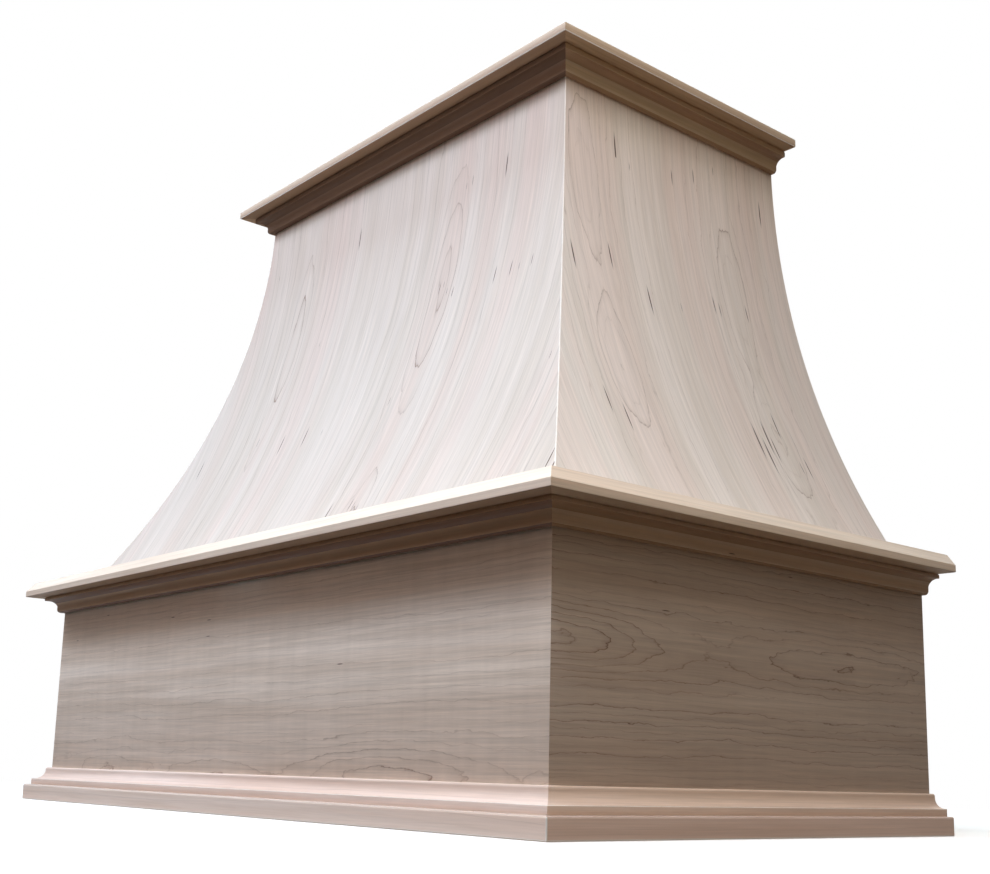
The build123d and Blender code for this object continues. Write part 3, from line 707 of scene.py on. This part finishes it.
def place_piece(mesh, node, finishes):
    """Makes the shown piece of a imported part, with its back and ends in their own finish."""
    if len(finishes) > BACK:
        mark_backs(mesh, node)
    data = bpy.data.meshes.new("shown_" + node)
    mesh.to_mesh(data)
    mesh.free()
    data.polygons.foreach_set("use_smooth", [True] * len(data.polygons))
    data.set_sharp_from_angle(angle=CREASE)
    piece = bpy.data.objects.new("shown_" + node, data)
    bpy.context.scene.collection.objects.link(piece)
    for finish in finishes:
        data.materials.append(finish_of(finish))
    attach(piece, "root")
    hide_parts(node)


def mark_backs(mesh, node):
    """Tells a sheet's hidden side and its sawn edges from its veneered face."""
    outward = {"front": (0, -1, 0), "left": (-1, 0, 0), "right": (1, 0, 0)}
    away = Vector(outward[node.rsplit("_", 1)[1]])
    for face in mesh.faces:
        facing = face.normal.dot(away)
        if face.material_index == ARRIS:
            continue
        if facing < -EDGE_ON:
            face.material_index = BACK
        elif facing < EDGE_ON:
            face.material_index = SAWN


# ---------------------------------------------------------------- profiles

def bell_centre():
    """Centre of the bell's arc in (out, z), on the outer side."""
    rise = Z_NECK - Z_FOOT
    run_in = FOOT - NECK
    chord = math.hypot(rise, run_in)
    height = math.sqrt(sizes().bell_radius**2 - chord**2 / 4)
    out = (FOOT + NECK) / 2 + height * rise / chord
    return out, (Z_FOOT + Z_NECK) / 2 + height * run_in / chord


def bell(z, inset):
    """Out position of the bell's face at a height, or of a face lying inset behind it."""
    centre_out, centre_z = bell_centre()
    return centre_out - math.sqrt((sizes().bell_radius + inset)**2 - (z - centre_z)**2)


def draw_skin(mesh):
    """Bent plywood: hollow up to the neck, then upright behind the crown moulding."""
    thick = sizes().skin
    radius = sizes().bell_radius
    face, back = bell(Z_NECK, 0), bell(Z_NECK, thick)
    pen = Pen(mesh, bell(Z_FOOT, 0), Z_FOOT)
    pen.arc(face, Z_NECK, radius, steps=56)
    pen.line((face, Z_SOFFIT), (back, Z_SOFFIT), (back, Z_NECK))
    pen.arc(bell(Z_FOOT, thick), Z_FOOT, -(radius + thick), steps=56)
    pen.close()


def draw_apron(mesh):
    """Flat veneered panel."""
    pen = Pen(mesh, 0, Z_BASE_TOP)
    pen.line((0, Z_SHELF), (APRON_BACK, Z_SHELF), (APRON_BACK, Z_BASE_TOP))
    pen.close()


def draw_cap(mesh):
    """Cap moulding: a square edge, a ledge, and a cove that sweeps up to the apron."""
    s = sizes()
    z_ledge = Z_BASE_TOP + s.cap_fillet
    cove_foot = CAP_OUT - s.cap_ledge
    cove_head = cove_foot - s.cap_cove
    z_cove = z_ledge + s.cap_cove
    z_round = z_cove + s.cap_lip
    pen = Pen(mesh, 0, Z_BASE_TOP)
    pen.line((CAP_OUT, Z_BASE_TOP), (CAP_OUT, z_ledge), (cove_foot, z_ledge))
    pen.arc(cove_head, z_cove, s.cap_cove, steps=10)
    pen.line((cove_head, z_round))
    pen.arc(cove_head - s.cap_round, z_round + s.cap_round, -s.cap_round, steps=6)
    pen.line((0, z_round + s.cap_round))
    pen.close()


def draw_bed(mesh, back, z_bottom, z_top, fillet):
    """Bed moulding: a rounded lower fillet, a cove, a small brow and an upright step.

    It stands out from back. A small open V at its top edge shows as a dark line.
    """
    s = sizes()
    toe = back + s.bed_toe
    brow = back + BED_OUT
    z_cove = z_bottom + fillet
    z_step = z_cove + s.bed_rise
    pen = Pen(mesh, back, z_bottom)
    pen.line((toe - s.bed_round, z_bottom))
    pen.arc(toe, z_bottom + s.bed_round, -s.bed_round, steps=7)
    pen.line((toe, z_cove))
    pen.arc(brow - s.bed_brow, z_step, s.bed_cove, steps=9)
    pen.line((brow, z_step), (brow, z_top - s.bed_joint))
    pen.line((brow - s.bed_joint, z_top), (back, z_top))
    pen.close()


def draw_crown(mesh):
    """Crown cap board: thin, square and eased."""
    pen = Pen(mesh, CROWN_BACK, Z_SOFFIT)
    pen.line((CROWN_OUT, Z_SOFFIT), (CROWN_OUT, Z_TOP), (CROWN_BACK, Z_TOP))
    pen.close()


def grained(name, side):
    """The wood of a run: its grain goes along X at the front, and along Y at the sides."""
    return name + ("_x" if side == "front" else "_y")


def sheet_finishes(name, side):
    """A veneered face, sanded corners with a painted highlight, a plain back and sawn edges."""
    return [f"{name}_{side}", "arris", "sheet_back", "softwood"]


# ---------------------------------------------------------------- operators

class HOOD_OT_base_frame(bpy.types.Operator):
    """Base frame: flat solid boards under the apron"""
    bl_idname = "hood.base_frame"
    bl_label = "Base frame"

    def execute(self, context):
        for side in ("front", "rear"):
            dress("base_" + side, "base_x")
        for side in ("left", "right"):
            dress("base_" + side, "base_y")
        dress("base_splines", "ply_across_z")
        return {"FINISHED"}


class HOOD_OT_cap_moulding(bpy.types.Operator):
    """Cap moulding on the base frame"""
    bl_idname = "hood.cap_moulding"
    bl_label = "Cap moulding"

    def execute(self, context):
        run("cap_moulding", draw_cap, lambda side: [grained("cap", side), "arris"],
            sizes().arris)
        return {"FINISHED"}


class HOOD_OT_apron(bpy.types.Operator):
    """Apron panels with flat-laid veneer"""
    bl_idname = "hood.apron"
    bl_label = "Apron"

    def execute(self, context):
        run("apron", draw_apron, lambda side: sheet_finishes("apron", side),
            sizes().arris)
        return {"FINISHED"}


class HOOD_OT_shelf(bpy.types.Operator):
    """Shelf boards, and the bed moulding under them"""
    bl_idname = "hood.shelf"
    bl_label = "Shelf"

    def execute(self, context):
        for side in ("front", "rear"):
            dress("shelf_" + side, "shelf_x")
        for side in ("left", "right"):
            dress("shelf_" + side, "shelf_y")
        dress("shelf_splines", "ply_across_z")
        run("shelf_moulding", lambda mesh: draw_bed(mesh, 0, Z_BED, Z_SHELF, sizes().shelf_fillet),
            lambda side: [grained("bed", side)] * 2, sizes().arris)
        return {"FINISHED"}


class HOOD_OT_bonnet(bpy.types.Operator):
    """Bonnet: three hollow skins of bent plywood with upright veneer"""
    bl_idname = "hood.bonnet"
    bl_label = "Bonnet"

    def execute(self, context):
        run("bonnet", draw_skin, lambda side: sheet_finishes("bonnet", side),
            sizes().arris, marked=True)
        return {"FINISHED"}


class HOOD_OT_crown(bpy.types.Operator):
    """Crown: bed moulding and thin cap boards"""
    bl_idname = "hood.crown"
    bl_label = "Crown"

    def execute(self, context):
        fillet = sizes().crown_fillet
        run("crown_moulding", lambda mesh: draw_bed(mesh, NECK, Z_NECK, Z_SOFFIT, fillet),
            lambda side: [grained("crown", side)] * 2, sizes().arris)
        run("crown_cap", draw_crown, lambda side: [grained("crown_cap", side), "arris"],
            sizes().nose_arris)
        return {"FINISHED"}


class HOOD_OT_ribs(bpy.types.Operator):
    """Plywood ribs and deck"""
    bl_idname = "hood.ribs"
    bl_label = "Ribs and deck"

    def execute(self, context):
        for side in ("left", "right"):
            dress("hip_rib_" + side, "ply_hip_" + side)
            dress("front_rib_" + side, "ply_across_x")
            dress("side_rib_" + side, "ply_across_y")
            dress("back_rib_" + side, "ply_across_y")
        dress("top_deck", "ply_across_z")
        return {"FINISHED"}


class HOOD_OT_framing(bpy.types.Operator):
    """Softwood cleats, corner blocks and nailers"""
    bl_idname = "hood.framing"
    bl_label = "Cleats and nailers"

    def execute(self, context):
        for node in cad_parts:
            if node.startswith(("foot_cleat", "apron_block")) or node.endswith("nailer"):
                dress(node, "softwood")
        return {"FINISHED"}


class HOOD_OT_screws(bpy.types.Operator):
    """Zinc-plated wood screws"""
    bl_idname = "hood.screws"
    bl_label = "Screws"

    def execute(self, context):
        for group in ("deck", "foot", "base", "rail"):
            dress(group + "_screws", "zinc")
        return {"FINISHED"}


class HOOD_OT_stage(bpy.types.Operator):
    """Pale floor, soft studio light and the camera"""
    bl_idname = "hood.stage"
    bl_label = "Stage"

    def execute(self, context):
        make_floor()
        make_world()
        for values in LAMPS:
            lamp(*values)
        make_camera()
        return {"FINISHED"}


# ---------------------------------------------------------------- stage

WHITE = (1, 1, 1, 1)
FLOOR_RADIUS = 9.0
FLOOR_DROP = 0.5 * MM       # how far the floor lies under the base
PLAIN_TO = 1.0              # out to here the floor shows as a floor,
WHITE_FROM = 2.2            # and from here on as plain white
UNDER_LIGHT = 0.35          # light from the floor under the hood,
LIT_TO = 0.97               # out to this share of the hood's half width and depth,
DARK_FROM = 0.98            # and none from this share on


def white_share(tree):
    """1 for rays that should meet plain white: from the eye, a mirror or glass."""
    paths = add(tree, "LightPath", output=None)
    inputs = {0: paths["Is Camera Ray"], 1: paths["Is Glossy Ray"]}
    seen = add(tree, "Math", inputs, operation="MAXIMUM")
    return add(tree, "Math", {0: seen, 1: paths["Is Transmission Ray"]}, operation="MAXIMUM")


def make_floor():
    """Matt white floor. To the eye it fades to plain white further out.

    It is clear from below, so the underside can be looked at, and lies a hair under the base.
    Under the hood it gives off a little light, or the underside would be black. That patch is
    sized by the whole hood, so it ends 4 mm past the base's sides and 8 mm past its front.
    """
    material, tree = new_material("matt_white_floor")
    place = add(tree, "TexCoord", output="Object")
    far = add(tree, "VectorMath", {0: place}, output=1, operation="LENGTH")
    fade = add(tree, "MapRange", {0: far, 1: PLAIN_TO, 2: WHITE_FROM}, **SMOOTH)
    paint = add(tree, "BsdfDiffuse", {"Color": (0.85, 0.85, 0.85, 1)})
    glow = add(tree, "Emission", {"Color": WHITE, "Strength": 0.4})
    near = add(tree, "AddShader", {0: paint, 1: glow})
    white = add(tree, "Emission", {"Color": WHITE, "Strength": 1.0})
    seen = add(tree, "MixShader", {0: fade, 1: near, 2: white})
    bounce = add(tree, "BsdfDiffuse", {"Color": (0.03, 0.025, 0.02, 1)})
    aside = add(tree, "VectorMath", {0: place}, operation="ABSOLUTE")
    half = (CAD_BOX[1].x, CAD_BOX[1].y, 1)
    share = add(tree, "VectorMath", {0: aside, 1: half}, operation="DIVIDE")
    shares = add(tree, "SeparateXYZ", {0: share}, output=None)
    farther = add(tree, "Math", {0: shares[0], 1: shares[1]}, operation="MAXIMUM")
    limits = {0: farther, 1: LIT_TO, 2: DARK_FROM, 3: UNDER_LIGHT, 4: 0.0}
    beneath = add(tree, "MapRange", limits)
    glimmer = add(tree, "Emission", {"Color": WHITE, "Strength": beneath})
    dim = add(tree, "AddShader", {0: bounce, 1: glimmer})
    above = add(tree, "MixShader", {0: white_share(tree), 1: dim, 2: seen})
    from_below = add(tree, "NewGeometry", output="Backfacing")
    clear = add(tree, "BsdfTransparent")
    surface = add(tree, "MixShader", {0: from_below, 1: above, 2: clear})
    add(tree, "OutputMaterial", {"Surface": surface}, output=None)
    mesh = bmesh.new()
    bmesh.ops.create_circle(mesh, cap_ends=True, radius=FLOOR_RADIUS, segments=96)
    bmesh.ops.translate(mesh, verts=mesh.verts, vec=(0, 0, -FLOOR_DROP))
    data = bpy.data.meshes.new("floor")
    mesh.to_mesh(data)
    mesh.free()
    data.materials.append(material)
    floor = bpy.data.objects.new("floor", data)
    bpy.context.scene.collection.objects.link(floor)


def make_world():
    """White to the eye, and a low warm light for everything else."""
    world = bpy.data.worlds.new("studio")
    bpy.context.scene.world = world
    world.use_nodes = True
    tree = world.node_tree
    tree.nodes.clear()
    room = add(tree, "Background", {"Color": (1.0, 0.8, 0.65, 1), "Strength": 0.012})
    white = add(tree, "Background", {"Color": WHITE, "Strength": 1.0})
    surface = add(tree, "MixShader", {0: white_share(tree), 1: room, 2: white})
    add(tree, "OutputWorld", {"Surface": surface}, output=None)


def lamp(name, place, aim, size, watts, tint):
    """Rectangular soft light, turned to a point."""
    light = bpy.data.lights.new(name, "AREA")
    light.shape = "RECTANGLE"
    light.size, light.size_y = size
    light.energy = watts
    light.color = tint
    holder = bpy.data.objects.new(name, light)
    holder.location = place
    holder.rotation_euler = (Vector(aim) - Vector(place)).to_track_quat("-Z", "Y").to_euler()
    bpy.context.scene.collection.objects.link(holder)


# Lamps: name, place, point it is turned to, size, watts and tint. Panels hang above the front
# and the right side, a window stands far to the left, and low fills stand all round.
LAMPS = (
    ("front_panel_right", (0.75, -1.056, 1.86), (0, -0.256, 0.4), (0.5, 0.35), 6.5,
     (0.54, 0.65, 1)),
    ("front_panel_left", (-0.6, -1.106, 1.75), (-0.6, -1.105, 0), (0.9, 0.4), 23.1,
     (0.68, 0.84, 1)),
    ("corner_panel", (1.1, -0.856, 1.6), (1.1, -0.855, 0), (0.6, 0.3), 15.6, (0.97, 1, 0.97)),
    ("top_panel", (0, -0.25, 2.2), (0, -0.249, 0), (1.4, 0.5), 21.9, (0.5, 0.81, 1)),
    ("side_panel", (0.95, 0, 2.0), (0.95, 0.001, 0), (0.5, 0.8), 4.2, (1, 0.91, 0.83)),
    ("side_key", (2.0, -1.0, 1.9), (0.3, 0, 0.4), (1.0, 1.0), 11.4, (1, 0.88, 0.74)),
    ("window", (-2.5, -1.6, 2.2), (0, 0, 0.4), (1.0, 1.0), 38.1, (1, 0.97, 0.99)),
    ("front_fill", (0, -2.6, 1.6), (0, 0, 0.4), (1.2, 0.8), 8.3, (1, 0.71, 0.56)),
    ("side_fill", (2.6, -0.2, 0.7), (0, 0, 0.4), (1.2, 1.0), 3.4, (1, 0.65, 0.34)),
    ("back_fill", (-0.6, 2.6, 1.4), (0, 0, 0.4), (1.6, 1.2), 30.0, (1, 0.95, 0.9)),
)


def make_camera():
    """The photograph's view: low, from beyond the right front corner, looking slightly up.

    Its numbers come from a fit to the straight edges of the hood in the photograph.
    """
    camera = bpy.data.cameras.new("camera")
    camera.sensor_width = 36
    camera.lens = 48.47
    camera.shift_x = 0.0380
    camera.shift_y = 0.0808
    holder = bpy.data.objects.new("camera", camera)
    holder.location = (1.2835, -1.0039, 0.0499)
    holder.rotation_euler = [math.radians(turn) for turn in (100.881, -1.581, 50.492)]
    bpy.context.scene.collection.objects.link(holder)
    bpy.context.scene.camera = holder
    bpy.context.scene.view_settings.view_transform = "Standard"


# ---------------------------------------------------------------- panel and registration

OPERATORS = (
    HOOD_OT_base_frame, HOOD_OT_cap_moulding, HOOD_OT_apron, HOOD_OT_shelf, HOOD_OT_bonnet,
    HOOD_OT_crown, HOOD_OT_ribs, HOOD_OT_framing, HOOD_OT_screws, HOOD_OT_stage,
)


class HOOD_PT_panel(bpy.types.Panel):
    """Sizes, colours and pieces of the range hood cover"""
    bl_idname = "HOOD_PT_panel"
    bl_label = "Range hood"
    bl_space_type = "VIEW_3D"
    bl_region_type = "UI"
    bl_category = "Range hood"

    def draw(self, context):
        for group in (context.scene.hood_sizes, context.scene.hood_colours):
            for name in group.__annotations__:
                self.layout.prop(group, name)
        for operator in OPERATORS:
            self.layout.operator(operator.bl_idname)


CLASSES = (HoodSizes, HoodColours, *OPERATORS, HOOD_PT_panel)


def register():
    for item in CLASSES:
        bpy.utils.register_class(item)
    bpy.types.Scene.hood_sizes = PointerProperty(type=HoodSizes)
    bpy.types.Scene.hood_colours = PointerProperty(type=HoodColours)


def unregister():
    del bpy.types.Scene.hood_colours
    del bpy.types.Scene.hood_sizes
    for item in reversed(CLASSES):
        bpy.utils.unregister_class(item)


def main():
    register()
    for operator in OPERATORS:
        group, name = operator.bl_idname.split(".")
        getattr(getattr(bpy.ops, group), name)()


if __name__ == "__main__":
    main()
